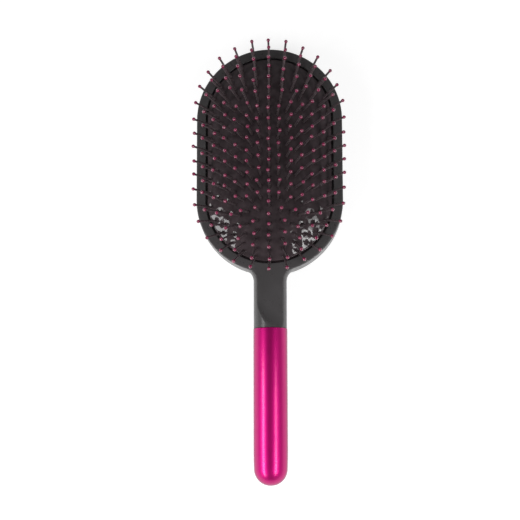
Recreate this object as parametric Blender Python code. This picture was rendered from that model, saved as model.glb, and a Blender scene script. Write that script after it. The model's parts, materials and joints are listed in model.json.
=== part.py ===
"""Paddle brush with a stadium-shaped head, a domed rubber air cushion and a round metallic handle sleeve.

Metres, +Z up. The brush lies on its flat back on z = 0 with its pins up. Its long axis is Y, head towards +Y.
The origin is the middle of the bounding box's bottom face.

A stadium is two half circles joined by straight sides. Every outline of the head is a stadium about the same
straight axis, so a distance from that axis (a radius) gives an outline, a ring of pins or a level of the dome.
"""

from math import asin, atan2, cos, pi, radians, sin, sqrt

import bmesh
import bpy
from mathutils import Matrix, Vector

# Overall
LENGTH = 0.2510
HEAD_RADIUS = 0.0418
STRAIGHT = 0.0474
RIM_Z = 0.0154
AXIS_Z = 0.0096
FIT_GAP = 0.0003

# Pins: a centre row and rings round it; each stands on the dome and leans outwards from the stadium's axis
PIN_LENGTH = 0.0180
SPLAY_RADIUS = 0.0660
PIN_HALF_WIDTH = 0.00062
PIN_TIP_HALF_WIDTH = 0.00050
BALL_HALF_WIDTH = 0.00078
BALL_RADIUS = 0.0009
HOLE_HALF_WIDTH = 0.00095
CENTRE_ROW_PINS = 9
RING_STEP = 0.0049
RING_COUNTS = (18, 24, 26, 32, 34, 36, 38)
OUTER_RING_RADIUS = 0.0335
RING_SECTORS = ("right_top", "right_bottom", "left_bottom", "left_top")

# The outer ring's ball tips reach past the head, so they set the box's top end and with it the head's place
OUTER_SPLAY = asin(OUTER_RING_RADIUS / SPLAY_RADIUS)
TIP_REACH = (
    OUTER_RING_RADIUS
    + (PIN_LENGTH - BALL_RADIUS) * sin(OUTER_SPLAY)
    + BALL_HALF_WIDTH * cos(OUTER_SPLAY)
)
HEAD_Y = LENGTH / 2 - STRAIGHT / 2 - TIP_REACH

# Dark plastic body, in a front and a back half that meet at the height of the handle's axis
NECK_HALF_WIDTH = 0.0094
NECK_MIN_HALF_WIDTH = 0.0015
NECK_END_Y = HEAD_Y - 0.0967
FILLET_RADIUS = 0.0075
BACK_ROUND = 0.0025
SCOOP_START_Y = HEAD_Y - 0.0802
SCOOP_START_X = -0.0074
SCOOP_SLANT = 0.75
SCOOP_RADIUS = 0.0145
SCOOP_STEPS = 8
SCOOP_LENGTH = 0.0110
TANG_RADIUS = 0.0074
TANG_LENGTH = 0.0740
TANG_ROOT = 0.0050

# Recess for the cushion and its plate. Cutters start or end at the cut heights, clear of the half that they cut
OPENING_RADIUS = 0.0365
RECESS_RADIUS = 0.0393
LIP_THICKNESS = 0.0028
CUT_LOW_Z = 0.0050
CUT_HIGH_Z = 0.0300
LEDGE_Z = 0.0086
PAN_RADIUS = 0.0365
PAN_FLOOR_Z = 0.0024
PILLAR_RADIUS = 0.0026
PILLAR_OFFSET_X = 0.0180
PILLAR_SPACING_Y = 0.0260

# Cushion: the dome is a circular arc across the head, swept round the stadium's axis
DOME_RADIUS = 0.0880
DOME_EDGE_RADIUS = 0.0360
CUSHION_RADIUS = 0.0355
CUSHION_EDGE_RADIUS = 0.0351
CUSHION_EDGE_DROP = 0.0004
MEMBRANE = 0.0014
SKIRT_TOP_DROP = 0.0016
FLANGE_THICKNESS = 0.0015
FLANGE_TOP_Z = RIM_Z - LIP_THICKNESS - FIT_GAP
FLANGE_BOTTOM_Z = FLANGE_TOP_Z - FLANGE_THICKNESS
FLANGE_RADIUS = RECESS_RADIUS - FIT_GAP

# Pad base: the plate that closes the air chamber from below
BASE_TOP_Z = FLANGE_BOTTOM_Z - FIT_GAP
BASE_BOTTOM_Z = LEDGE_Z + FIT_GAP
BASE_RIB_OUTER = 0.0338
BASE_RIB_INNER = 0.0324
BASE_RIB_HEIGHT = 0.0015
VENT_RADIUS = 0.0010

# Runner under the membrane that the pins of one group stand on
RUNNER_DEPTH = MEMBRANE + 0.0006
RUNNER_HEIGHT = 0.0011

# Handle sleeve
SLEEVE_RADIUS = 0.0096
SLEEVE_BORE = TANG_RADIUS + 0.0003
SLEEVE_END_ROUND = 0.0094
SLEEVE_END_POWER = 2.3
SLEEVE_END_WALL = 0.0030
SLEEVE_LIP = 0.0003
SLEEVE_STEPS = 24
SLEEVE_END_STEPS = 7

# Mesh
ARC_STEPS = 16
FILLET_STEPS = 4
LOWER_ARC_STEPS = 8
ROUND_SECTION_STEPS = 6
POST_SIDES = 8
SHARP_ANGLE = radians(35)
MERGE_DISTANCE = 0.00001
STADIUM_PARTS = 6

PLASTIC = ("dark_grey_plastic", (0.060, 0.057, 0.058), 0.35, 0.0)
RUBBER = ("black_rubber", (0.018, 0.014, 0.015), 0.22, 0.0)
MAGENTA = ("metallic_magenta", (0.52, 0.012, 0.19), 0.22, 0.9)
BASE_PLASTIC = ("black_plastic", (0.020, 0.020, 0.020), 0.45, 0.0)
PIN_SHAFT = ("pin_nylon", (0.030, 0.018, 0.021), 0.35, 0.0)
PIN_TIP = ("pin_tip_rose", (0.45, 0.10, 0.19), 0.35, 0.0)


def clear_scene():
    for obj in list(bpy.data.objects):
        bpy.data.objects.remove(obj, do_unlink=True)


def material(name, colour, roughness, metallic):
    """The named Principled material, made once."""
    found = bpy.data.materials.get(name)
    if found:
        return found
    made = bpy.data.materials.new(name)
    made.use_nodes = True
    shader = made.node_tree.nodes["Principled BSDF"]
    shader.inputs["Base Color"].default_value = (*colour, 1.0)
    shader.inputs["Roughness"].default_value = roughness
    shader.inputs["Metallic"].default_value = metallic
    made.diffuse_color = (*colour, 1.0)
    return made


def add_object(name, bm, *finishes):
    """A scene object from a bmesh, with its faces turned outwards."""
    bmesh.ops.recalc_face_normals(bm, faces=bm.faces)
    mesh = bpy.data.meshes.new(name)
    bm.to_mesh(mesh)
    bm.free()
    mesh.shade_smooth()
    mesh.set_sharp_from_angle(angle=SHARP_ANGLE)
    for finish in finishes:
        mesh.materials.append(material(*finish))
    obj = bpy.data.objects.new(name, mesh)
    bpy.context.scene.collection.objects.link(obj)
    return obj


def add_cutter(name, bm):
    """A Boolean operand: it shapes other objects and isn't a part of the brush."""
    cutter = add_object(name, bm)
    cutter.hide_render = True
    cutter.display_type = "WIRE"
    return cutter


def boolean(obj, other, operation):
    modifier = obj.modifiers.new(f"{operation.lower()}_{other.name}", "BOOLEAN")
    modifier.operation = operation
    modifier.solver = "EXACT"
    modifier.object = other


# --- Stadium geometry ------------------------------------------------------------------------------------


def stadium(radius):
    """Points of a stadium, clockwise from above, from the top of its right-hand side."""
    points = []
    for centre_y, start in ((-STRAIGHT / 2, 0.0), (STRAIGHT / 2, pi)):
        for step in range(ARC_STEPS + 1):
            angle = start - pi * step / ARC_STEPS
            points.append(Vector((radius * cos(angle), HEAD_Y + centre_y + radius * sin(angle), 0.0)))
    return points


def axis_distance(point):
    """Distance in plan from the stadium's straight axis."""
    beyond = max(abs(point.y - HEAD_Y) - STRAIGHT / 2, 0.0)
    return sqrt(point.x**2 + beyond**2)


def place_round(point):
    """How far round the stadium a point is, clockwise from the top, with 1 for each quarter turn or side."""
    y = point.y - HEAD_Y
    if abs(y) <= STRAIGHT / 2:
        along = (STRAIGHT / 2 - y) / STRAIGHT
        return 1 + along if point.x > 0 else STADIUM_PARTS - 1 - along
    if y > 0:
        turn = atan2(point.x, y - STRAIGHT / 2) / (pi / 2)
        return turn % STADIUM_PARTS
    return STADIUM_PARTS / 2 - atan2(point.x, -y - STRAIGHT / 2) / (pi / 2)


def ring_place(radius, distance):
    """Point and outward direction in plan, that distance clockwise round the stadium from its top."""
    quarter = pi * radius / 2
    right = distance < quarter * 2 + STRAIGHT
    side = 1.0 if right else -1.0
    if not right:
        distance = 2 * (quarter * 2 + STRAIGHT) - distance
    if distance < quarter:
        angle = pi / 2 - distance / radius
        centre_y = STRAIGHT / 2
    elif distance < quarter + STRAIGHT:
        angle = 0.0
        centre_y = STRAIGHT / 2 - (distance - quarter)
    else:
        angle = -(distance - quarter - STRAIGHT) / radius
        centre_y = -STRAIGHT / 2
    out = Vector((side * cos(angle), sin(angle), 0.0))
    return Vector((0.0, HEAD_Y + centre_y, 0.0)) + radius * out, out


def dome_z(radius):
    """Height of the cushion's outer surface at a distance from the stadium's axis."""
    return RIM_Z + sqrt(DOME_RADIUS**2 - radius**2) - sqrt(DOME_RADIUS**2 - DOME_EDGE_RADIUS**2)


# --- Pin places ------------------------------------------------------------------------------------------


class PinPlace:
    """Where one pin stands: its base on the dome, its axis, and the two directions across it."""

    def __init__(self, plan, out, splay):
        self.out = out
        self.along = Vector((out.y, -out.x, 0.0))
        self.base = Vector((plan.x, plan.y, dome_z(axis_distance(plan))))
        self.axis = sin(splay) * out + Vector((0.0, 0.0, cos(splay)))
        self.across = cos(splay) * out - Vector((0.0, 0.0, sin(splay)))
        self.splay = splay

    def corners(self, height, half):
        """A square across the pin at a height along it, in the order in-before, in-after, out-after, out-before."""
        middle = self.base + height * self.axis
        return [
            middle + a * half * self.across + b * half * self.along
            for a, b in ((-1, -1), (-1, 1), (1, 1), (1, -1))
        ]

    def hole(self):
        """Corners of the pin's hole: on the dome's surface, then under the membrane."""
        radial = HOLE_HALF_WIDTH / cos(self.splay)
        upper = []
        for a, b in ((-1, -1), (-1, 1), (1, 1), (1, -1)):
            corner = self.base + a * radial * self.out + b * HOLE_HALF_WIDTH * self.along
            corner.z = dome_z(axis_distance(corner))
            upper.append(corner)
        return upper, [corner - MEMBRANE * self.axis for corner in upper]


def centre_row():
    """The straight row on the stadium's axis, from its top end down."""
    spacing = STRAIGHT / (CENTRE_ROW_PINS - 1)
    right = Vector((1.0, 0.0, 0.0))
    return [
        PinPlace(Vector((0.0, HEAD_Y + STRAIGHT / 2 - spacing * index, 0.0)), right, 0.0)
        for index in range(CENTRE_ROW_PINS)
    ]


def ring_radius(number):
    return min(RING_STEP * number, OUTER_RING_RADIUS)


def ring(number):
    """The pins of a ring, evenly spaced round it, clockwise from its top."""
    radius = ring_radius(number)
    count = RING_COUNTS[number - 1]
    spacing = (2 * STRAIGHT + 2 * pi * radius) / count
    splay = asin(radius / SPLAY_RADIUS)
    return [PinPlace(*ring_place(radius, spacing * index), splay) for index in range(count)]


# --- Mesh building ---------------------------------------------------------------------------------------


def add_points(bm, points):
    return [bm.verts.new(point) for point in points]


def at_height(points, z):
    return [Vector((point.x, point.y, z)) for point in points]


def bridge(bm, first, second):
    """Quads between two closed loops of the same length."""
    for index, vert in enumerate(first):
        after = (index + 1) % len(first)
        bm.faces.new((vert, first[after], second[after], second[index]))


def zip_loops(bm, first, second):
    """Triangles between two closed loops of different lengths, matched by their places round the stadium."""
    loops = []
    for loop in (first, second):
        placed = sorted((place_round(vert.co), index, vert) for index, vert in enumerate(loop))
        loops.append([(place, vert) for place, _, vert in placed])
    inner, outer = loops
    i = j = 0
    while i < len(inner) or j < len(outer):
        next_inner = inner[(i + 1) % len(inner)][0] + STADIUM_PARTS * ((i + 1) // len(inner))
        next_outer = outer[(j + 1) % len(outer)][0] + STADIUM_PARTS * ((j + 1) // len(outer))
        a = inner[i % len(inner)][1]
        b = outer[j % len(outer)][1]
        if j >= len(outer) or (i < len(inner) and next_inner <= next_outer):
            i += 1
            bm.faces.new((a, inner[i % len(inner)][1], b))
        else:
            j += 1
            bm.faces.new((a, outer[j % len(outer)][1], b))


def stadium_prism(name, radius, bottom, top):
    bm = bmesh.new()
    outline = stadium(radius)
    lower = add_points(bm, at_height(outline, bottom))
    upper = add_points(bm, at_height(outline, top))
    bridge(bm, lower, upper)
    bm.faces.new(lower)
    bm.faces.new(upper)
    return add_cutter(name, bm)


# --- Body halves -----------------------------------------------------------------------------------------


def neck_half_width(z):
    """Half-width of the round neck at a height. Its lower half reaches the table, its upper half is a circle."""
    depth = AXIS_Z if z < AXIS_Z else NECK_HALF_WIDTH
    share = min(abs(z - AXIS_Z) / depth, 1.0)
    return max(NECK_HALF_WIDTH * sqrt(1.0 - share**2), NECK_MIN_HALF_WIDTH)


def body_outline(z):
    """The body's outline at a height: the head's stadium, joined to the neck's sides by concave fillets."""
    half = neck_half_width(z)
    radius = HEAD_RADIUS
    if z < BACK_ROUND:
        radius += sqrt(BACK_ROUND**2 - (BACK_ROUND - z) ** 2) - BACK_ROUND
    lower_y = HEAD_Y - STRAIGHT / 2
    fillet_x = half + FILLET_RADIUS
    fillet_y = lower_y - sqrt((radius + FILLET_RADIUS) ** 2 - fillet_x**2)
    join = atan2(fillet_y - lower_y, fillet_x)
    right = [Vector((half, NECK_END_Y, z))]
    for step in range(FILLET_STEPS + 1):
        angle = pi + join * step / FILLET_STEPS
        right.append(
            Vector((fillet_x + FILLET_RADIUS * cos(angle), fillet_y + FILLET_RADIUS * sin(angle), z))
        )
    for step in range(1, LOWER_ARC_STEPS + 1):
        angle = join * (1 - step / LOWER_ARC_STEPS)
        right.append(Vector((radius * cos(angle), lower_y + radius * sin(angle), z)))
    for step in range(ARC_STEPS // 2):
        angle = (pi / 2) * step / (ARC_STEPS // 2)
        right.append(Vector((radius * cos(angle), lower_y + STRAIGHT + radius * sin(angle), z)))
    top = [Vector((0.0, lower_y + STRAIGHT + radius, z))]
    left = [Vector((-point.x, point.y, z)) for point in reversed(right)]
    return right + top + left


def body_loft(name, heights):
    bm = bmesh.new()
    levels = [add_points(bm, body_outline(z)) for z in heights]
    for lower, upper in zip(levels, levels[1:]):
        bridge(bm, lower, upper)
    bm.faces.new(levels[0])
    bm.faces.new(levels[-1])
    return add_object(name, bm, PLASTIC)


def scoop_cutter():
    """Cuts the flat front of the rim and neck. Its end curves up out of the round neck in a slanted scoop."""
    side = []
    for step in range(SCOOP_STEPS + 1):
        back = SCOOP_LENGTH * step / SCOOP_STEPS
        rise = SCOOP_RADIUS - sqrt(SCOOP_RADIUS**2 - back**2)
        side.append((SCOOP_START_Y - back, RIM_Z + rise))
    side.append((SCOOP_START_Y - SCOOP_LENGTH, CUT_HIGH_Z))
    bm = bmesh.new()
    loops = []
    for x in (-2 * HEAD_RADIUS, 2 * HEAD_RADIUS):
        later = SCOOP_SLANT * (x - SCOOP_START_X)
        points = [Vector((x, y - later, z)) for y, z in side]
        points += [Vector((x, LENGTH, CUT_HIGH_Z)), Vector((x, LENGTH, RIM_Z))]
        loops.append(add_points(bm, points))
    bridge(bm, *loops)
    for loop in loops:
        bm.faces.new(loop)
    return add_cutter("cut_flat_front", bm)


def tang_half(name, upper):
    """Half of the round tang inside the handle sleeve. It starts inside the neck, where it joins."""
    side = 1.0 if upper else -1.0
    flat_z = AXIS_Z + side * FIT_GAP
    start = asin(FIT_GAP / TANG_RADIUS)
    section = []
    for step in range(2 * ROUND_SECTION_STEPS + 1):
        angle = start + (pi - 2 * start) * step / (2 * ROUND_SECTION_STEPS)
        section.append((TANG_RADIUS * cos(angle), AXIS_Z + side * TANG_RADIUS * sin(angle)))
    section[0] = (section[0][0], flat_z)
    section[-1] = (section[-1][0], flat_z)
    bm = bmesh.new()
    ends = (NECK_END_Y + TANG_ROOT, NECK_END_Y - TANG_LENGTH)
    loops = [add_points(bm, [Vector((x, y, z)) for x, z in section]) for y in ends]
    bridge(bm, *loops)
    for loop in loops:
        bm.faces.new(loop)
    return add_cutter(name, bm)


def pillars():
    """Six posts that stand up from the pan's floor under the pad base, to be kept out of the pan's cutter."""
    bm = bmesh.new()
    for x in (-PILLAR_OFFSET_X, PILLAR_OFFSET_X):
        for row in (-1, 0, 1):
            place = Vector((x, HEAD_Y + row * PILLAR_SPACING_Y, LEDGE_Z / 2))
            bmesh.ops.create_cone(
                bm,
                cap_ends=True,
                segments=POST_SIDES,
                radius1=PILLAR_RADIUS,
                radius2=PILLAR_RADIUS,
                depth=LEDGE_Z,
                matrix=Matrix.Translation(place),
            )
    return add_cutter("keep_pillars", bm)


def build_front_frame():
    top = AXIS_Z + NECK_HALF_WIDTH
    heights = [AXIS_Z + FIT_GAP / 2]
    for step in range(1, ROUND_SECTION_STEPS + 1):
        heights.append(AXIS_Z + (top - AXIS_Z) * sin(pi / 2 * step / ROUND_SECTION_STEPS))
    frame = body_loft("front_frame", heights)
    boolean(frame, scoop_cutter(), "DIFFERENCE")
    boolean(frame, stadium_prism("cut_opening", OPENING_RADIUS, CUT_LOW_Z, CUT_HIGH_Z), "DIFFERENCE")
    lip_z = RIM_Z - LIP_THICKNESS
    boolean(frame, stadium_prism("cut_recess", RECESS_RADIUS, CUT_LOW_Z, lip_z), "DIFFERENCE")
    boolean(frame, tang_half("add_upper_tang", True), "UNION")


def build_back_shell():
    heights = []
    for step in range(ROUND_SECTION_STEPS):
        heights.append(AXIS_Z * (1 - cos(pi / 2 * step / ROUND_SECTION_STEPS)))
    heights.append(AXIS_Z - FIT_GAP / 2)
    shell = body_loft("back_shell", heights)
    pan = stadium_prism("cut_pan", PAN_RADIUS, PAN_FLOOR_Z, CUT_HIGH_Z)
    boolean(pan, pillars(), "DIFFERENCE")
    boolean(shell, pan, "DIFFERENCE")
    ledge = stadium_prism("cut_ledge", RECESS_RADIUS, LEDGE_Z, CUT_HIGH_Z)
    boolean(shell, ledge, "DIFFERENCE")
    boolean(shell, tang_half("add_lower_tang", False), "UNION")


# --- Cushion and pad base --------------------------------------------------------------------------------


def centre_strip(bm, holes):
    """The strip along the centre row, with its holes left open. Returns the closed loop of its outer edge."""
    for before, after in zip(holes, holes[1:]):
        bm.faces.new((before[1], after[0], after[3], before[2]))
    right = [vert for hole in holes for vert in (hole[3], hole[2])]
    left = [vert for hole in holes for vert in (hole[0], hole[1])]
    return right + left[::-1]


def ring_strip(bm, holes):
    """The strip along a ring, with its holes left open. Returns its inner and outer closed loops."""
    for index, before in enumerate(holes):
        after = holes[(index + 1) % len(holes)]
        bm.faces.new((before[1], after[0], after[3], before[2]))
    inner = [vert for hole in holes for vert in (hole[0], hole[1])]
    outer = [vert for hole in holes for vert in (hole[3], hole[2])]
    return inner, outer


def build_cushion():
    """Membrane with a square hole for each pin, then a skirt into the frame's groove and a clamped flange."""
    bm = bmesh.new()
    edges = {0: None, 1: None}
    rows = [centre_row()] + [ring(number + 1) for number in range(len(RING_COUNTS))]
    for row_index, row in enumerate(rows):
        holes = [[add_points(bm, level) for level in pin.hole()] for pin in row]
        for upper, lower in holes:
            bridge(bm, upper, lower)
        for side in edges:
            side_holes = [hole[side] for hole in holes]
            if row_index == 0:
                edges[side] = centre_strip(bm, side_holes)
                continue
            inner, outer = ring_strip(bm, side_holes)
            zip_loops(bm, edges[side], inner)
            edges[side] = outer
    inner_radius = CUSHION_RADIUS - MEMBRANE
    profile = (
        (CUSHION_EDGE_RADIUS, dome_z(CUSHION_EDGE_RADIUS)),
        (CUSHION_RADIUS, RIM_Z - CUSHION_EDGE_DROP),
        (CUSHION_RADIUS, FLANGE_TOP_Z),
        (FLANGE_RADIUS, FLANGE_TOP_Z),
        (FLANGE_RADIUS, FLANGE_BOTTOM_Z),
        (inner_radius, FLANGE_BOTTOM_Z),
        (inner_radius, RIM_Z - SKIRT_TOP_DROP),
    )
    loops = [add_points(bm, at_height(stadium(radius), z)) for radius, z in profile]
    zip_loops(bm, edges[0], loops[0])
    for before, after in zip(loops, loops[1:]):
        bridge(bm, before, after)
    zip_loops(bm, edges[1], loops[-1])
    add_object("cushion", bm, RUBBER)


def build_pad_base():
    rib_top = BASE_TOP_Z + BASE_RIB_HEIGHT
    profile = (
        (FLANGE_RADIUS, BASE_BOTTOM_Z),
        (FLANGE_RADIUS, BASE_TOP_Z),
        (BASE_RIB_OUTER, BASE_TOP_Z),
        (BASE_RIB_OUTER, rib_top),
        (BASE_RIB_INNER, rib_top),
        (BASE_RIB_INNER, BASE_TOP_Z),
    )
    bm = bmesh.new()
    loops = [add_points(bm, at_height(stadium(radius), z)) for radius, z in profile]
    for before, after in zip(loops, loops[1:]):
        bridge(bm, before, after)
    bm.faces.new(loops[0])
    bm.faces.new(loops[-1])
    base = add_object("pad_base", bm, BASE_PLASTIC)
    vent = bmesh.new()
    place = Matrix.Translation(Vector((0.0, HEAD_Y, BASE_TOP_Z)))
    bmesh.ops.create_cone(
        vent,
        cap_ends=True,
        segments=POST_SIDES,
        radius1=VENT_RADIUS,
        radius2=VENT_RADIUS,
        depth=BASE_TOP_Z,
        matrix=place,
    )
    boolean(base, add_cutter("cut_vent", vent), "DIFFERENCE")


# --- Pins ------------------------------------------------------------------------------------------------


def build_pin_group(name, pins):
    """Ball-tipped pins that rise from one thin runner under the membrane, which makes them a single piece."""
    bm = bmesh.new()
    tip_faces = []
    sections = []
    for pin in pins:
        top = add_points(bm, pin.corners(-RUNNER_DEPTH, PIN_HALF_WIDTH))
        bottom = add_points(bm, pin.corners(-RUNNER_DEPTH - RUNNER_HEIGHT, PIN_HALF_WIDTH))
        sections.append((top[0], top[3], bottom[3], bottom[0]))
        sections.append((top[1], top[2], bottom[2], bottom[1]))
        bm.faces.new((top[0], top[1], bottom[1], bottom[0]))
        bm.faces.new((top[3], top[2], bottom[2], bottom[3]))
        bm.faces.new(bottom)
        shoulder = add_points(bm, pin.corners(PIN_LENGTH - 2 * BALL_RADIUS, PIN_TIP_HALF_WIDTH))
        equator = add_points(bm, pin.corners(PIN_LENGTH - BALL_RADIUS, BALL_HALF_WIDTH))
        apex = bm.verts.new(pin.base + PIN_LENGTH * pin.axis)
        bridge(bm, top, shoulder)
        before = set(bm.faces)
        bridge(bm, shoulder, equator)
        for index, vert in enumerate(equator):
            bm.faces.new((vert, equator[(index + 1) % 4], apex))
        tip_faces += set(bm.faces) - before
    for before, after in zip(sections[1:-1:2], sections[2::2]):
        bridge(bm, before, after)
    bm.faces.new(sections[0])
    bm.faces.new(sections[-1])
    for face in tip_faces:
        face.material_index = 1
    add_object(name, bm, PIN_SHAFT, PIN_TIP)


def build_pins():
    """The centre row is one group. Each ring is four, which start at its top and go round clockwise."""
    build_pin_group("pins_centre_row", centre_row())
    for number, count in enumerate(RING_COUNTS, start=1):
        pins = ring(number)
        for index, sector in enumerate(RING_SECTORS):
            start = count * index // len(RING_SECTORS)
            end = count * (index + 1) // len(RING_SECTORS)
            build_pin_group(f"pins_ring_{number}_{sector}", pins[start:end])


# --- Handle sleeve ---------------------------------------------------------------------------------------


def build_handle_sleeve():
    """A tube with a closed, rounded end, turned about the handle's axis."""
    end_y = -LENGTH / 2
    outer = []
    for step in range(1, SLEEVE_END_STEPS + 1):
        angle = pi / 2 * step / SLEEVE_END_STEPS
        share = sin(angle) ** (2 / SLEEVE_END_POWER)
        back = SLEEVE_END_ROUND * (1 - cos(angle) ** (2 / SLEEVE_END_POWER))
        outer.append((SLEEVE_RADIUS * share, end_y + back))
    open_y = NECK_END_Y - FIT_GAP
    profile = [
        (0.0, end_y),
        *outer,
        (SLEEVE_RADIUS, open_y - SLEEVE_LIP),
        (SLEEVE_RADIUS - SLEEVE_LIP, open_y),
        (SLEEVE_BORE, open_y),
        (SLEEVE_BORE, NECK_END_Y - TANG_LENGTH - SLEEVE_END_WALL),
        (0.0, NECK_END_Y - TANG_LENGTH - SLEEVE_END_WALL),
    ]
    bm = bmesh.new()
    points = add_points(bm, [Vector((radius, y, AXIS_Z)) for radius, y in profile])
    edges = [bm.edges.new(pair) for pair in zip(points, points[1:])]
    bmesh.ops.spin(
        bm,
        geom=points + edges,
        cent=(0.0, 0.0, AXIS_Z),
        axis=(0.0, 1.0, 0.0),
        angle=2 * pi,
        steps=SLEEVE_STEPS,
        use_merge=True,
    )
    bmesh.ops.remove_doubles(bm, verts=bm.verts, dist=MERGE_DISTANCE)
    add_object("handle_sleeve", bm, MAGENTA)


clear_scene()
build_front_frame()
build_back_shell()
build_cushion()
build_pad_base()
build_pins()
build_handle_sleeve()
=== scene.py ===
import json
from math import asin, atan2, cos, pi, radians, sin, sqrt

import bmesh
import bpy
import numpy as np
from mathutils import Matrix, Vector


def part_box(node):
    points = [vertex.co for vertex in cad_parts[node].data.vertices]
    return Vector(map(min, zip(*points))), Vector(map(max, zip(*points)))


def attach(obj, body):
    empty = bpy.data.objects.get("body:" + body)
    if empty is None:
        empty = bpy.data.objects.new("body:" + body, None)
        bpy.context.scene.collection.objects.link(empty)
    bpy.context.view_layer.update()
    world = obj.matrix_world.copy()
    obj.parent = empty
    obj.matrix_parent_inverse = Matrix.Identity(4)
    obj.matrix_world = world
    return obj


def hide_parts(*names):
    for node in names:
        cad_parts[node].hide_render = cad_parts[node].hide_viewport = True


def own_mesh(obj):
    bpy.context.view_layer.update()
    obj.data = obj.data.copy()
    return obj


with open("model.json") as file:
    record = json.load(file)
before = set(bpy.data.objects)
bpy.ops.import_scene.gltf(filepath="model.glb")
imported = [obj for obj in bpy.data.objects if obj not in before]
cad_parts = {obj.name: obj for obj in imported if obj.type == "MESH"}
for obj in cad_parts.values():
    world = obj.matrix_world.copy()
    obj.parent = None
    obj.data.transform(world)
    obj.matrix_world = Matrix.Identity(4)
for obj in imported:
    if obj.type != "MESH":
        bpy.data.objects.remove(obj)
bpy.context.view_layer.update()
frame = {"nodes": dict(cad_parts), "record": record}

MM = 0.001
BODY = "brush_body"


def boxed(node):
    """The low and the high corner of a CAD node's box."""
    low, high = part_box(node)
    return Vector(low), Vector(high)


# --- Sizes read from the frame ------------------------------------------------------------

cushion_low, cushion_high = boxed("cushion")
frame_low, frame_high = boxed("front_frame")
sleeve_low, sleeve_high = boxed("handle_sleeve")
pins_top_z = boxed("pins_centre_row")[1].z
joints = frame["record"]["behaviour"]["joints"]
press = next(joint for joint in joints if joint["name"] == "cushion_press")

RIM_Z = press["deforming_nodes"][0]["fixed_end_z_m"]
HEAD_RADIUS = frame_high.x
FLANGE_RADIUS = cushion_high.x
STRAIGHT = (cushion_high.y - cushion_low.y) - 2 * FLANGE_RADIUS
HEAD_Y = (cushion_high.y + cushion_low.y) / 2
SLEEVE_RADIUS = sleeve_high.x
AXIS_Z = (sleeve_high.z + sleeve_low.z) / 2
SLEEVE_END_Y = sleeve_low.y
SLEEVE_OPEN_Y = sleeve_high.y
TANG_END_Y = frame_low.y
CUSHION_TOP = cushion_high.z
CROWN = CUSHION_TOP - RIM_Z
PIN_LENGTH = pins_top_z - CUSHION_TOP

# --- Sizes of the body's fine shapes ------------------------------------------------------

FIT_GAP = 0.3 * MM
NECK_RADIUS = 9.4 * MM
NECK_END_Y = SLEEVE_OPEN_Y + 0.15 * MM
TANG_RADIUS = 7.4 * MM
FILLET_RADIUS = 7.5 * MM
BACK_ROUND = 2.5 * MM
EDGE_ROUND = 0.7 * MM
OPENING_RADIUS = 36.5 * MM
OPENING_ROUND = 0.35 * MM
OPENING_EDGE = OPENING_RADIUS + OPENING_ROUND
RECESS_RADIUS = FLANGE_RADIUS + FIT_GAP
LIP_Z = RIM_Z - 2.8 * MM
LEDGE_Z = 8.6 * MM
PAN_FLOOR_Z = 2.4 * MM
PARTING_GAP = 0.12 * MM
SCOOP_START_Y = HEAD_Y - 80.2 * MM
SCOOP_START_X = -7.4 * MM
SCOOP_SLANT = 0.75
SCOOP_RADIUS = 14.5 * MM
FACET_BLEND = 0.35 * MM

# --- Sizes of the cushion, and of the dome that the pins stand on -------------------------

DOME_EDGE_RADIUS = 36.0 * MM
DOME_RADIUS = (CROWN**2 + DOME_EDGE_RADIUS**2) / (2 * CROWN)
CUSHION_RADIUS = 35.35 * MM
MEMBRANE = 1.4 * MM

# --- Materials ----------------------------------------------------------------------------

COLOUR_SPAN = (0.35, 0.65)
ROUGHNESS_SPAN = (0.3, 0.7)


class Look:
    """A Principled material whose nodes work in the brush's own coordinates, in metres."""

    def __init__(self, name, **values):
        self.material = bpy.data.materials.new(name)
        self.material.use_nodes = True
        self.tree = self.material.node_tree
        self.shader = self.tree.nodes["Principled BSDF"]
        for socket, value in values.items():
            self.shader.inputs[socket.replace("_", " ")].default_value = value
        self.place = self.node("ShaderNodeTexCoord").outputs["Object"]

    def node(self, kind):
        return self.tree.nodes.new(kind)

    def link(self, output, socket):
        self.tree.links.new(output, socket)

    def noise(self, size, detail):
        """Noise whose features are about that size across."""
        texture = self.node("ShaderNodeTexNoise")
        texture.inputs["Scale"].default_value = 1.0 / size
        texture.inputs["Detail"].default_value = detail
        self.link(self.place, texture.inputs["Vector"])
        return texture.outputs["Fac"]

    def colour_between(self, factor, dark, light):
        ramp = self.node("ShaderNodeValToRGB")
        for stop, position, colour in zip(ramp.color_ramp.elements, COLOUR_SPAN, (dark, light)):
            stop.position = position
            stop.color = (*colour, 1.0)
        self.link(factor, ramp.inputs["Fac"])
        self.link(ramp.outputs["Color"], self.shader.inputs["Base Color"])

    def roughness_between(self, factor, low, high):
        ranged = self.node("ShaderNodeMapRange")
        ranged.inputs["From Min"].default_value = ROUGHNESS_SPAN[0]
        ranged.inputs["From Max"].default_value = ROUGHNESS_SPAN[1]
        ranged.inputs["To Min"].default_value = low
        ranged.inputs["To Max"].default_value = high
        self.link(factor, ranged.inputs["Value"])
        self.link(ranged.outputs["Result"], self.shader.inputs["Roughness"])

    def bump(self, *layers):
        """Bump from (factor, height in metres) layers."""
        normal = None
        for factor, height in layers:
            made = self.node("ShaderNodeBump")
            made.inputs["Strength"].default_value = 1.0
            made.inputs["Distance"].default_value = height
            self.link(factor, made.inputs["Height"])
            if normal:
                self.link(normal, made.inputs["Normal"])
            normal = made.outputs["Normal"]
        self.link(normal, self.shader.inputs["Normal"])


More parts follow.
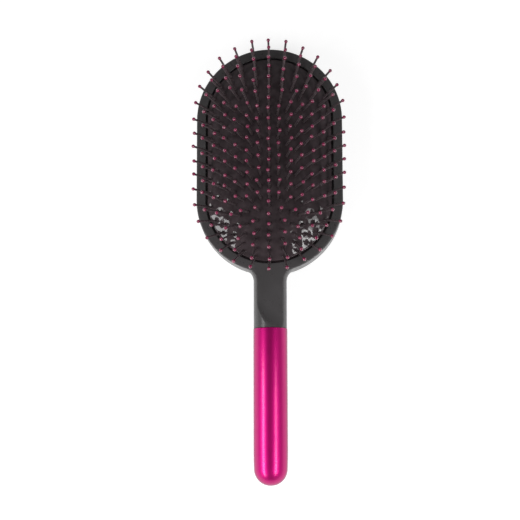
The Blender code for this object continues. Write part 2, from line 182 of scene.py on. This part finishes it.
def body_plastic():
    """Satin dark grey moulded plastic with a very fine spark-eroded grain."""
    look = Look("body_plastic", Specular_IOR_Level=0.5)
    look.colour_between(look.noise(14 * MM, 4.0), (0.047, 0.044, 0.045), (0.057, 0.0535, 0.055))
    look.roughness_between(look.noise(3 * MM, 5.0), 0.26, 0.35)
    look.bump((look.noise(0.45 * MM, 2.0), 0.005 * MM), (look.noise(9 * MM, 2.0), 0.03 * MM))
    return look.material


def cushion_rubber():
    """Glossy black moulded rubber with a faint maroon tint, very slightly uneven; its colour is
    painted lighter than black rubber, with light and dark patches as painted sheen.
    """
    look = Look("cushion_rubber", Specular_IOR_Level=0.30)
    # Painted sheen and reflection: the base is lighter than the rubber's own black, and the 6 mm
    # light and dark patches stand in for reflections round the pins.
    look.colour_between(look.noise(6 * MM, 4.0), (0.036, 0.026, 0.029), (0.062, 0.046, 0.051))
    look.roughness_between(look.noise(4 * MM, 5.0), 0.06, 0.11)
    look.bump((look.noise(0.5 * MM, 2.0), 0.002 * MM), (look.noise(3.5 * MM, 2.0), 0.08 * MM))
    return look.material


def magenta_metal():
    """Metallised magenta with fine flake under clear lacquer."""
    look = Look(
        "handle_magenta",
        Metallic=1.0,
        Coat_Weight=0.9,
        Coat_Roughness=0.22,
        Coat_IOR=1.37,
        Specular_Tint=(0.0, 0.0, 0.25, 1.0),
    )
    look.colour_between(look.noise(0.16 * MM, 1.0), (0.51, 0.0015, 0.16), (0.60, 0.002, 0.19))
    look.roughness_between(look.noise(5 * MM, 4.0), 0.43, 0.47)
    look.bump((look.noise(6 * MM, 2.0), 0.01 * MM))
    return look.material


def pin_nylon():
    """Dark moulded nylon with a faint maroon tint."""
    look = Look("pin_nylon", Specular_IOR_Level=0.5)
    look.colour_between(look.noise(2.5 * MM, 3.0), (0.074, 0.056, 0.061), (0.104, 0.080, 0.086))
    look.roughness_between(look.noise(1.2 * MM, 3.0), 0.24, 0.34)
    look.bump((look.noise(0.4 * MM, 2.0), 0.004 * MM))
    return look.material


def pin_tip_rose():
    """Glossy rose-magenta dipped ball tip."""
    look = Look("pin_tip_rose", Coat_Weight=1.0, Coat_Roughness=0.06)
    look.colour_between(look.noise(1.6 * MM, 3.0), (0.16, 0.003, 0.040), (0.24, 0.006, 0.065))
    look.roughness_between(look.noise(0.9 * MM, 3.0), 0.22, 0.32)
    look.bump((look.noise(0.35 * MM, 2.0), 0.004 * MM))
    return look.material


def base_plastic():
    """Plain black moulded plastic of the plate inside the head."""
    look = Look("pad_base_plastic")
    look.colour_between(look.noise(8 * MM, 3.0), (0.014, 0.014, 0.014), (0.024, 0.024, 0.024))
    look.roughness_between(look.noise(2 * MM, 4.0), 0.42, 0.55)
    look.bump((look.noise(0.4 * MM, 2.0), 0.01 * MM))
    return look.material


PLASTIC = body_plastic()
RUBBER = cushion_rubber()
MAGENTA = magenta_metal()
NYLON = pin_nylon()
ROSE = pin_tip_rose()
BASE = base_plastic()


# --- Mesh helpers -------------------------------------------------------------------------

MERGE_DISTANCE = 0.002 * MM
SHORTEST_EDGE = 0.001 * MM


def add_piece(name, bm, materials, nodes, body=BODY, sharp_degrees=40):
    """A finished piece with faces turned out, riding on its body in place of its CAD nodes."""
    bmesh.ops.remove_doubles(bm, verts=bm.verts, dist=MERGE_DISTANCE)
    bmesh.ops.dissolve_degenerate(bm, edges=bm.edges, dist=SHORTEST_EDGE)
    bmesh.ops.recalc_face_normals(bm, faces=bm.faces)
    mesh = bpy.data.meshes.new(name)
    bm.to_mesh(mesh)
    bm.free()
    mesh.shade_smooth()
    mesh.set_sharp_from_angle(angle=radians(sharp_degrees))
    for material in materials:
        mesh.materials.append(material)
    obj = bpy.data.objects.new(name, mesh)
    bpy.context.scene.collection.objects.link(obj)
    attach(obj, body)
    if nodes:
        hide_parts(*nodes)
    return obj


def bridge(bm, first, second):
    """Quads between two closed loops of as many points."""
    for index in range(len(first)):
        after = (index + 1) % len(first)
        bm.faces.new((first[index], first[after], second[after], second[index]))


def loft(bm, loops, closed=False):
    """Quads through loops of points, all of one length."""
    rows = [[bm.verts.new(point) for point in loop] for loop in loops]
    for before, after in zip(rows, rows[1:]):
        bridge(bm, before, after)
    if closed:
        bridge(bm, rows[-1], rows[0])
    return rows


# --- Stadium geometry ---------------------------------------------------------------------


def stadium(radius, z, arc_steps, side_steps):
    """A closed stadium outline at a height, clockwise from above from its top."""
    points = []
    half = STRAIGHT / 2
    for step in range(arc_steps // 2):
        angle = pi / 2 - pi * step / arc_steps
        points.append(Vector((radius * cos(angle), HEAD_Y + half + radius * sin(angle), z)))
    for step in range(side_steps):
        points.append(Vector((radius, HEAD_Y + half - STRAIGHT * step / side_steps, z)))
    for step in range(arc_steps):
        angle = -pi * step / arc_steps
        points.append(Vector((radius * cos(angle), HEAD_Y - half + radius * sin(angle), z)))
    for step in range(side_steps):
        points.append(Vector((-radius, HEAD_Y - half + STRAIGHT * step / side_steps, z)))
    for step in range(arc_steps // 2):
        angle = pi - pi * step / arc_steps
        points.append(Vector((radius * cos(angle), HEAD_Y + half + radius * sin(angle), z)))
    return points


def axis_distance(point):
    """How far a place is, in plan, from the line between the stadium's two centres."""
    beyond = max(abs(point.y - HEAD_Y) - STRAIGHT / 2, 0.0)
    return sqrt(point.x**2 + beyond**2)


def dome_z(radius):
    """Height of the CAD cushion's dome, which is a round arc across the head."""
    return RIM_Z + sqrt(DOME_RADIUS**2 - radius**2) - sqrt(DOME_RADIUS**2 - DOME_EDGE_RADIUS**2)


def ring_place(radius, distance):
    """Point and outward direction in plan, that distance clockwise round a stadium from its top."""
    quarter = pi * radius / 2
    right = distance < quarter * 2 + STRAIGHT
    side = 1.0 if right else -1.0
    if not right:
        distance = 2 * (quarter * 2 + STRAIGHT) - distance
    if distance < quarter:
        angle = pi / 2 - distance / radius
        centre_y = STRAIGHT / 2
    elif distance < quarter + STRAIGHT:
        angle = 0.0
        centre_y = STRAIGHT / 2 - (distance - quarter)
    else:
        angle = -(distance - quarter - STRAIGHT) / radius
        centre_y = -STRAIGHT / 2
    out = Vector((side * cos(angle), sin(angle), 0.0))
    return Vector((0.0, HEAD_Y + centre_y, 0.0)) + radius * out, out


# --- Places of the pins -------------------------------------------------------------------

CENTRE_ROW_PINS = 9
RING_COUNTS = (18, 24, 26, 32, 34, 36, 38)
RING_STEP = 4.9 * MM
OUTER_RING_RADIUS = 33.5 * MM
SPLAY_RADIUS = 66.0 * MM
PIN_LEAN = radians(1.3)
MOST_LEAN = radians(2.4)
LEAST_SPREAD = 0.2
LEAN_SEED = 5

lean_draws = np.random.default_rng(LEAN_SEED)


class Pin:
    """A pin's base on the dome, its axis, and two directions across it.

    Each pin leans a little its own way: in or out, and to one side. LEAST_SPREAD keeps the
    turn to one side small for the pins that stand nearly upright.
    """

    def __init__(self, plan, out, splay):
        self.base = Vector((plan.x, plan.y, dome_z(axis_distance(plan))))
        lean, turn = np.clip(lean_draws.normal(0.0, PIN_LEAN, 2), -MOST_LEAN, MOST_LEAN)
        splay += float(lean)
        spread = max(sin(abs(splay)), LEAST_SPREAD)
        out = Matrix.Rotation(float(turn) / spread, 3, "Z") @ out
        self.axis = sin(splay) * out + Vector((0.0, 0.0, cos(splay)))
        self.across = cos(splay) * out - Vector((0.0, 0.0, sin(splay)))
        self.along = Vector((out.y, -out.x, 0.0))


def centre_row():
    spacing = STRAIGHT / (CENTRE_ROW_PINS - 1)
    right = Vector((1.0, 0.0, 0.0))
    top_y = HEAD_Y + STRAIGHT / 2
    plans = [Vector((0.0, top_y - spacing * index, 0.0)) for index in range(CENTRE_ROW_PINS)]
    return [Pin(plan, right, 0.0) for plan in plans]


def ring(number, count):
    radius = min(RING_STEP * number, OUTER_RING_RADIUS)
    spacing = (2 * STRAIGHT + 2 * pi * radius) / count
    splay = asin(radius / SPLAY_RADIUS)
    return [Pin(*ring_place(radius, spacing * place), splay) for place in range(count)]


# The centre row, then each ring from the inside out.
ROWS = [centre_row()] + [ring(index + 1, count) for index, count in enumerate(RING_COUNTS)]


# --- Body halves --------------------------------------------------------------------------

FILLET_STEPS = 10
LOWER_ARC_STEPS = 26
SIDE_STEPS = 4
TOP_ARC_STEPS = 36
NECK_STEPS = 40
NECK_POINTS = NECK_STEPS + 2
FRONT_WALL_STEPS = 12
BACK_WALL_STEPS = 18
EDGE_STEPS = 5
FLAT_STEPS = 16
OPENING_STEPS = 3
PARTING_STEPS = 4


def scoop_z(x, y):
    """Height of the flat front at a place: the rim's plane, then the slanted scoop that curves up."""
    back = SCOOP_START_Y - SCOOP_SLANT * (x - SCOOP_START_X) - y
    if back <= 0:
        return RIM_Z
    return RIM_Z + SCOOP_RADIUS - sqrt(max(SCOOP_RADIUS**2 - back**2, 0.0))


def soft_min(first, second, blend):
    """The smaller of two heights, rounded where they cross."""
    apart = max(blend - abs(first - second), 0.0) / blend
    return min(first, second) - apart * apart * blend / 4


def flat(z):
    """One height at every place of an outline."""
    return lambda x, y: z


def front_height(level):
    """Height over a front outline: its level, or the scooped flat where that is lower."""
    return lambda x, y: soft_min(level, scoop_z(x, y), FACET_BLEND)


def neck_half_width(z):
    """The neck is round above the sleeve's axis, and deeper below it, down to the flat back."""
    depth = AXIS_Z if z < AXIS_Z else NECK_RADIUS
    return NECK_RADIUS * sqrt(max(1.0 - ((z - AXIS_Z) / depth) ** 2, 0.0))


def tang_half_width(z):
    return sqrt(max(TANG_RADIUS**2 - (z - AXIS_Z) ** 2, 0.0))


def outline(radius, half, fillet, height, tang=0.0):
    """The body's outline in plan: head stadium, concave fillets, neck sides and tang.

    half and tang are the half widths of the neck and the tang. height gives each place's z.
    """
    lower_y = HEAD_Y - STRAIGHT / 2
    fillet_x = half + fillet
    fillet_y = lower_y - sqrt((radius + fillet) ** 2 - fillet_x**2)
    join = atan2(fillet_y - lower_y, fillet_x)
    tang_y = TANG_END_Y if tang > 0 else NECK_END_Y
    plan = [(tang, tang_y), (tang, NECK_END_Y)]
    for step in range(NECK_STEPS):
        plan.append((half, NECK_END_Y + (fillet_y - NECK_END_Y) * step / NECK_STEPS))
    for step in range(FILLET_STEPS):
        angle = pi + join * step / FILLET_STEPS
        plan.append((fillet_x + fillet * cos(angle), fillet_y + fillet * sin(angle)))
    for step in range(LOWER_ARC_STEPS):
        angle = join * (1 - step / LOWER_ARC_STEPS)
        plan.append((radius * cos(angle), lower_y + radius * sin(angle)))
    for step in range(SIDE_STEPS):
        plan.append((radius, lower_y + STRAIGHT * step / SIDE_STEPS))
    for step in range(TOP_ARC_STEPS):
        angle = pi / 2 * step / TOP_ARC_STEPS
        plan.append((radius * cos(angle), lower_y + STRAIGHT + radius * sin(angle)))
    top = [(0.0, lower_y + STRAIGHT + radius)]
    plan += top + [(-x, y) for x, y in reversed(plan)]
    return [Vector((x, y, height(x, y))) for x, y in plan]


def head_part(row):
    """The part of a body outline that goes round the head, without the neck and the tang."""
    return row[NECK_POINTS:-NECK_POINTS]


def head_loop(radius, z):
    """A stadium with the points that the head's part of an outline has."""
    return head_part(outline(radius, 0.0, 0.0, flat(z)))


def parting_loops(z):
    """Loops across the flat parting face, from the outline in to the recess."""
    loops = []
    for step in range(1, PARTING_STEPS + 1):
        share = step / PARTING_STEPS
        radius = HEAD_RADIUS + (RECESS_RADIUS - HEAD_RADIUS) * share
        half = neck_half_width(z) * (1 - share)
        fillet = FILLET_RADIUS * (1 - share)
        tang = tang_half_width(z) * (1 - share)
        loops.append(outline(radius, half, fillet, flat(z), tang))
    return loops


def wall_heights(first, last, steps):
    """Heights that are even in angle round the neck's section, from one height to another."""
    depth = AXIS_Z if last < AXIS_Z or first < AXIS_Z else NECK_RADIUS
    start = asin(max(min((first - AXIS_Z) / depth, 1.0), -1.0))
    end = asin(max(min((last - AXIS_Z) / depth, 1.0), -1.0))
    return [AXIS_Z + depth * sin(start + (end - start) * step / steps) for step in range(steps + 1)]


def front_levels(low):
    """(height, head radius, fillet) up the front half: wall, rounded edge, then the flat front."""
    edge_z = RIM_Z - EDGE_ROUND
    levels = [(z, HEAD_RADIUS, FILLET_RADIUS) for z in wall_heights(low, edge_z, FRONT_WALL_STEPS)]
    for step in range(1, EDGE_STEPS + 1):
        angle = pi / 2 * step / EDGE_STEPS
        radius = HEAD_RADIUS - EDGE_ROUND * (1 - cos(angle))
        levels.append((edge_z + EDGE_ROUND * sin(angle), radius, FILLET_RADIUS))
    edge_radius = HEAD_RADIUS - EDGE_ROUND
    heights = wall_heights(RIM_Z, AXIS_Z + NECK_RADIUS, FLAT_STEPS)
    for index in range(1, FLAT_STEPS + 1):
        share = index / FLAT_STEPS
        radius = edge_radius + (OPENING_EDGE - edge_radius) * share
        levels.append((heights[index], radius, FILLET_RADIUS * (1 - share)))
    return levels


def opening_loops(low):
    """The head's opening: rounded edge, wall, lip, and the recess for the cushion's flange."""
    loops = []
    for step in range(1, OPENING_STEPS + 1):
        angle = pi / 2 * step / OPENING_STEPS
        z = RIM_Z - OPENING_ROUND * (1 - cos(angle))
        loops.append(head_loop(OPENING_EDGE - OPENING_ROUND * sin(angle), z))
    loops.append(head_loop(OPENING_RADIUS, LIP_Z))
    loops.append(head_loop(RECESS_RADIUS, LIP_Z))
    loops.append(head_loop(RECESS_RADIUS, low))
    return loops


def build_front_frame():
    low = AXIS_Z + PARTING_GAP / 2
    loops = parting_loops(low)[::-1]
    for z, radius, fillet in front_levels(low):
        loops.append(outline(radius, neck_half_width(z), fillet, front_height(z), tang_half_width(z)))
    bm = bmesh.new()
    outer_rows = loft(bm, loops)
    inner_rows = loft(bm, opening_loops(low))
    bridge(bm, head_part(outer_rows[-1]), inner_rows[0])
    bridge(bm, inner_rows[-1], head_part(outer_rows[0]))
    add_piece("front_frame_moulding", bm, [PLASTIC], ["front_frame"])


def build_back_shell():
    high = AXIS_Z - PARTING_GAP / 2
    loops = []
    for z in wall_heights(0.0, high, BACK_WALL_STEPS):
        radius = HEAD_RADIUS
        if z < BACK_ROUND:
            radius += sqrt(BACK_ROUND**2 - (BACK_ROUND - z) ** 2) - BACK_ROUND
        loops.append(outline(radius, neck_half_width(z), FILLET_RADIUS, flat(z), tang_half_width(z)))
    loops += parting_loops(high)
    inner = [
        head_loop(RECESS_RADIUS, LEDGE_Z),
        head_loop(OPENING_RADIUS, LEDGE_Z),
        head_loop(OPENING_RADIUS, PAN_FLOOR_Z),
    ]
    bm = bmesh.new()
    outer_rows = loft(bm, loops)
    inner_rows = loft(bm, inner)
    bridge(bm, head_part(outer_rows[-1]), inner_rows[0])
    bm.faces.new(head_part(outer_rows[0]))
    bm.faces.new(inner_rows[-1])
    add_piece("back_shell_moulding", bm, [PLASTIC], ["back_shell"])


# --- Cushion ------------------------------------------------------------------------------

DOME_ARC_STEPS = 132
DOME_SIDE_STEPS = 60
DOME_LOOPS = 62
RUBBER_POWER = 2.45
DIMPLE_DEPTH = 0.44 * MM
DIMPLE_RADIUS = 1.25 * MM
SHOULDER_RADIUS = CUSHION_RADIUS - 0.5 * MM
SHOULDER_DROP = 0.6 * MM
SHOULDER_STEPS = 4
SKIRT_INNER_RADIUS = CUSHION_RADIUS - 0.4 * MM
SKIRT_LOW_Z = LIP_Z - 0.2 * MM
SKIRT_INNER_Z = RIM_Z - 0.7 * MM
UNDERSIDE_RADIUS = CUSHION_RADIUS - MEMBRANE
UNDERSIDE_GAP = 0.2 * MM
UNDERSIDE_STEPS = 8
FLANGE_TOP_Z = LIP_Z - FIT_GAP
FLANGE_LOW_Z = FLANGE_TOP_Z - 1.5 * MM
COLLAR_RADIUS = CUSHION_RADIUS - 0.5 * MM
COLLAR_OUTER_Z = RIM_Z - 0.9 * MM
COLLAR_INNER_Z = RIM_Z - 1.9 * MM


def rubber_z(radius):
    """The rubber's height: flatter in the middle and steeper at the edge than the CAD's dome."""
    edge = dome_z(CUSHION_RADIUS)
    share = (radius / CUSHION_RADIUS) ** RUBBER_POWER
    return CUSHION_TOP + (edge - CUSHION_TOP) * share


def dimple_dome(points):
    """Lowers the dome a little round each pin, where the pin's flange holds the rubber down."""
    places = np.array([pin.base[:2] for row in ROWS for pin in row])
    plan = np.array([point[:2] for point in points])
    drop = np.zeros(len(points))
    for place in places:
        away = ((plan - place) ** 2).sum(axis=1)
        drop += DIMPLE_DEPTH * np.exp(-away / (2 * DIMPLE_RADIUS**2))
    for point, lower in zip(points, drop):
        point.z -= lower


def dome_loop(radius, z):
    return stadium(radius, z, DOME_ARC_STEPS, DOME_SIDE_STEPS)


def build_dome():
    """The domed membrane with its shoulder, its short skirt inside the rim, and its underside."""
    loops = []
    for step in range(DOME_LOOPS + 1):
        radius = SHOULDER_RADIUS * step / DOME_LOOPS
        loops.append(dome_loop(radius, rubber_z(radius)))
    dimple_dome([point for loop in loops for point in loop])
    shoulder_z = rubber_z(SHOULDER_RADIUS)
    for step in range(1, SHOULDER_STEPS + 1):
        angle = pi / 2 * step / SHOULDER_STEPS
        radius = SHOULDER_RADIUS + (CUSHION_RADIUS - SHOULDER_RADIUS) * sin(angle)
        loops.append(dome_loop(radius, shoulder_z - SHOULDER_DROP * (1 - cos(angle))))
    loops.append(dome_loop(CUSHION_RADIUS, SKIRT_LOW_Z))
    loops.append(dome_loop(SKIRT_INNER_RADIUS, SKIRT_LOW_Z))
    loops.append(dome_loop(SKIRT_INNER_RADIUS, SKIRT_INNER_Z))
    for step in range(UNDERSIDE_STEPS + 1):
        radius = UNDERSIDE_RADIUS * (1 - step / UNDERSIDE_STEPS)
        loops.append(dome_loop(radius, dome_z(radius) - MEMBRANE - UNDERSIDE_GAP))
    bm = bmesh.new()
    loft(bm, loops)
    dome = add_piece("cushion_dome", bm, [RUBBER], ["cushion"], sharp_degrees=60)
    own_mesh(dome)


def build_flange():
    """The flange under the frame's lip, with the collar that stands inside the dome's skirt."""
    profile = (
        (UNDERSIDE_RADIUS, FLANGE_LOW_Z),
        (FLANGE_RADIUS, FLANGE_LOW_Z),
        (FLANGE_RADIUS, FLANGE_TOP_Z),
        (COLLAR_RADIUS, FLANGE_TOP_Z),
        (COLLAR_RADIUS, COLLAR_OUTER_Z),
        (UNDERSIDE_RADIUS, COLLAR_INNER_Z),
    )
    bm = bmesh.new()
    loft(bm, [dome_loop(radius, z) for radius, z in profile], closed=True)
    add_piece("cushion_flange", bm, [RUBBER], [])


# --- Pins ---------------------------------------------------------------------------------

PIN_SIDES = 14
BALL_STEPS = 9
BALL_RADIUS = 1.02 * MM
BALL_COLLAR = 0.25 * MM
SHAFT_RADIUS = 0.68 * MM
SHAFT_TIP_RADIUS = 0.60 * MM
SHAFT_TAPER = ((0.0, 1.0), (0.25, 0.97), (0.5, 0.93))
SHAFT_MATERIAL = 0
BALL_MATERIAL = 1
PIN_FLANGE_RADIUS = 1.15 * MM
PIN_FLANGE_LOW = -MEMBRANE - 0.9 * MM
PIN_FLANGE_HIGH = -MEMBRANE - 0.3 * MM
SHAFT_START = -MEMBRANE - 0.25 * MM
RING_SECTORS = ("right_top", "right_bottom", "left_bottom", "left_top")


def pin_profile():
    """(radius, height) of a pin from its flange under the membrane to its ball's top.

    The second value is the place in the list where the ball starts. SHAFT_TAPER gives shares
    of the pin's length and of the shaft's radius.
    """
    profile = [
        (0.0, PIN_FLANGE_LOW),
        (PIN_FLANGE_RADIUS, PIN_FLANGE_LOW),
        (PIN_FLANGE_RADIUS, PIN_FLANGE_HIGH),
        (SHAFT_RADIUS, SHAFT_START),
    ]
    profile += [(SHAFT_RADIUS * width, PIN_LENGTH * share) for share, width in SHAFT_TAPER]
    centre = PIN_LENGTH - BALL_RADIUS
    start = asin(SHAFT_TIP_RADIUS / BALL_RADIUS)
    profile.append((SHAFT_TIP_RADIUS, centre - BALL_RADIUS * cos(start) - BALL_COLLAR))
    ball_starts = len(profile)
    for step in range(BALL_STEPS + 1):
        angle = start + (pi - start) * step / BALL_STEPS
        profile.append((BALL_RADIUS * sin(angle), centre - BALL_RADIUS * cos(angle)))
    return profile, ball_starts


def add_pin(bm, pin, profile, ball_starts):
    """One pin, turned from its profile round its own axis and closed at both ends."""
    bottom = bm.verts.new(pin.base + profile[0][1] * pin.axis)
    rows = []
    for radius, height in profile[1:-1]:
        row = []
        for side in range(PIN_SIDES):
            angle = 2 * pi * side / PIN_SIDES
            across = cos(angle) * pin.across + sin(angle) * pin.along
            row.append(bm.verts.new(pin.base + height * pin.axis + radius * across))
        rows.append(row)
    top = bm.verts.new(pin.base + profile[-1][1] * pin.axis)
    for side in range(PIN_SIDES):
        after = (side + 1) % PIN_SIDES
        bm.faces.new((rows[0][after], rows[0][side], bottom))
        tip = bm.faces.new((rows[-1][side], rows[-1][after], top))
        tip.material_index = BALL_MATERIAL
        for place, (before, later) in enumerate(zip(rows, rows[1:]), start=2):
            face = bm.faces.new((before[side], before[after], later[after], later[side]))
            face.material_index = BALL_MATERIAL if place >= ball_starts else SHAFT_MATERIAL


def build_pins():
    profile, ball_starts = pin_profile()
    for index, row in enumerate(ROWS):
        bm = bmesh.new()
        for pin in row:
            add_pin(bm, pin, profile, ball_starts)
        if index == 0:
            name, nodes, body = "centre_row_pins", ["pins_centre_row"], "centre_row"
        else:
            name = f"ring_{index}_pins"
            nodes = [f"pins_ring_{index}_{sector}" for sector in RING_SECTORS]
            body = f"ring_{index}"
        add_piece(name, bm, [NYLON, ROSE], nodes, body)


# --- Handle sleeve ------------------------------------------------------------------------

SLEEVE_SIDES = 96
SLEEVE_LIP_ROUND = 0.35 * MM
SLEEVE_LIP_STEPS = 4
TAPER_START = 21.0 * MM
TAPER_DROP = 0.22 * MM
TAPER_STEPS = 8
END_ROUND = 9.6 * MM
END_POWER = 2.05
END_STEPS = 24
BORE_RADIUS = TANG_RADIUS + 0.2 * MM
BORE_END_Y = TANG_END_Y - 3 * MM


def sleeve_profile():
    """(radius, y) from the closed end's centre, along the outside, then back down the bore."""
    profile = [(0.0, SLEEVE_END_Y)]
    full = SLEEVE_RADIUS - TAPER_DROP
    for step in range(1, END_STEPS + 1):
        angle = pi / 2 * step / END_STEPS
        back = END_ROUND * (1 - cos(angle) ** (2 / END_POWER))
        profile.append((full * sin(angle) ** (2 / END_POWER), SLEEVE_END_Y + back))
    for step in range(1, TAPER_STEPS + 1):
        share = step / TAPER_STEPS
        y = SLEEVE_END_Y + END_ROUND + (TAPER_START - END_ROUND) * share
        profile.append((full + TAPER_DROP * share * (2 - share), y))
    profile.append((SLEEVE_RADIUS, (SLEEVE_END_Y + SLEEVE_OPEN_Y) / 2))
    for step in range(SLEEVE_LIP_STEPS + 1):
        angle = pi / 2 * step / SLEEVE_LIP_STEPS
        radius = SLEEVE_RADIUS - SLEEVE_LIP_ROUND * (1 - cos(angle))
        profile.append((radius, SLEEVE_OPEN_Y - SLEEVE_LIP_ROUND * (1 - sin(angle))))
    profile += [(BORE_RADIUS, SLEEVE_OPEN_Y), (BORE_RADIUS, BORE_END_Y), (0.0, BORE_END_Y)]
    return profile


def build_sleeve():
    loops = []
    for radius, y in sleeve_profile():
        loop = []
        for side in range(SLEEVE_SIDES):
            angle = 2 * pi * side / SLEEVE_SIDES
            loop.append(Vector((radius * cos(angle), y, AXIS_Z + radius * sin(angle))))
        loops.append(loop)
    bm = bmesh.new()
    loft(bm, loops)
    add_piece("magenta_sleeve", bm, [MAGENTA], ["handle_sleeve"], sharp_degrees=30)


def dress_pad_base():
    """The plate inside the head keeps its CAD shape, with a material of its own."""
    materials = frame["nodes"]["pad_base"].data.materials
    materials.clear()
    materials.append(BASE)


# --- Stage --------------------------------------------------------------------------------

HEAD_CENTRE = Vector((0.0, HEAD_Y, RIM_Z))
CAMERA_FROM_HEAD = Vector((16.0, -176.6, 729.6)) * MM
CAMERA_BACK = Vector((0.0292, -0.1598, 0.9867))
CAMERA_UP = Vector((0.0070, 0.9871, 0.1597))
LENS_MM = 90.5
SENSOR_WIDTH_MM = 36.0
CLIP_END = 10.0

# Heights are sines of the elevation, from the horizon at 0 to overhead at 1.
WORLD_GREYS = ((0.0, 0.72), (0.14, 0.60), (0.30, 0.24), (0.55, 0.30), (0.85, 0.15))

FLOOR_GLOW = 0.73
FLOOR_HALF_SIDE = 3.0
FLOOR_Z = -0.1 * MM

# Name, azimuth and elevation in degrees, distance, width, height, radiance, and how far its
# target lies from the head's centre towards the handle. Azimuth 0 is +X and 180 is -X.
SOFTBOXES = (
    ("softbox_left", 180, 41, 0.46, 0.58, 0.1, 12.2, 0.33),
    ("softbox_right", 0, 53, 0.46, 0.54, 0.08, 6.7, 0.32),
    ("softbox_front", 0, 53, 0.45, 0.28, 0.065, 9.9, 0.3),
)


def add_camera():
    data = bpy.data.cameras.new("camera")
    data.lens = LENS_MM
    data.sensor_width = SENSOR_WIDTH_MM
    data.clip_end = CLIP_END
    camera = bpy.data.objects.new("camera", data)
    back = CAMERA_BACK.normalized()
    right = CAMERA_UP.cross(back).normalized()
    up = back.cross(right)
    turn = Matrix((right, up, back)).transposed().to_4x4()
    camera.matrix_world = Matrix.Translation(HEAD_CENTRE + CAMERA_FROM_HEAD) @ turn
    bpy.context.scene.collection.objects.link(camera)
    bpy.context.scene.camera = camera


def add_softbox(name, azimuth, elevation, distance, width, height, radiance, towards_handle):
    """A rectangular softbox that faces its target."""
    light = bpy.data.lights.new(name, "AREA")
    light.shape = "RECTANGLE"
    light.size = width
    light.size_y = height
    light.energy = radiance * pi * width * height
    lamp = bpy.data.objects.new(name, light)
    turn = radians(azimuth)
    rise = radians(elevation)
    out = Vector((cos(turn) * cos(rise), sin(turn) * cos(rise), sin(rise)))
    lamp.location = HEAD_CENTRE - Vector((0.0, towards_handle, 0.0)) + distance * out
    lamp.rotation_mode = "QUATERNION"
    lamp.rotation_quaternion = out.to_track_quat("Z", "Y")
    bpy.context.scene.collection.objects.link(lamp)


def studio_world():
    """A soft grey studio: pale at the horizon, darker walls above it, and darkest overhead."""
    world = bpy.data.worlds.new("studio")
    world.use_nodes = True
    tree = world.node_tree
    place = tree.nodes.new("ShaderNodeTexCoord")
    split = tree.nodes.new("ShaderNodeSeparateXYZ")
    tree.links.new(place.outputs["Generated"], split.inputs["Vector"])
    ramp = tree.nodes.new("ShaderNodeValToRGB")
    tree.links.new(split.outputs["Z"], ramp.inputs["Fac"])
    stops = ramp.color_ramp.elements
    stops.remove(stops[1])
    for index, (height, grey) in enumerate(WORLD_GREYS):
        stop = stops[0] if index == 0 else stops.new(height)
        stop.position = height
        stop.color = (grey, grey, grey, 1.0)
    tree.links.new(ramp.outputs["Color"], tree.nodes["Background"].inputs["Color"])
    return world


def floor_white():
    """Plain pale studio floor."""
    look = Look(
        "floor_white",
        Specular_IOR_Level=0.1,
        Emission_Color=(1.0, 1.0, 1.0, 1.0),
        Emission_Strength=FLOOR_GLOW,
    )
    look.colour_between(look.noise(300 * MM, 2.0), (0.50, 0.50, 0.50), (0.52, 0.52, 0.52))
    look.roughness_between(look.noise(60 * MM, 2.0), 0.75, 0.85)
    return look.material


def add_floor():
    bm = bmesh.new()
    corners = []
    for x, y in ((-1, -1), (1, -1), (1, 1), (-1, 1)):
        corners.append(bm.verts.new((x * FLOOR_HALF_SIDE, y * FLOOR_HALF_SIDE, FLOOR_Z)))
    bm.faces.new(corners)
    mesh = bpy.data.meshes.new("floor")
    bm.to_mesh(mesh)
    bm.free()
    mesh.materials.append(floor_white())
    floor = bpy.data.objects.new("floor", mesh)
    bpy.context.scene.collection.objects.link(floor)


def add_stage():
    bpy.context.scene.world = studio_world()
    bpy.context.scene.view_settings.view_transform = "Standard"
    add_floor()
    for softbox in SOFTBOXES:
        add_softbox(*softbox)


build_front_frame()
build_back_shell()
build_dome()
build_flange()
build_pins()
build_sleeve()
dress_pad_base()
add_camera()
add_stage()
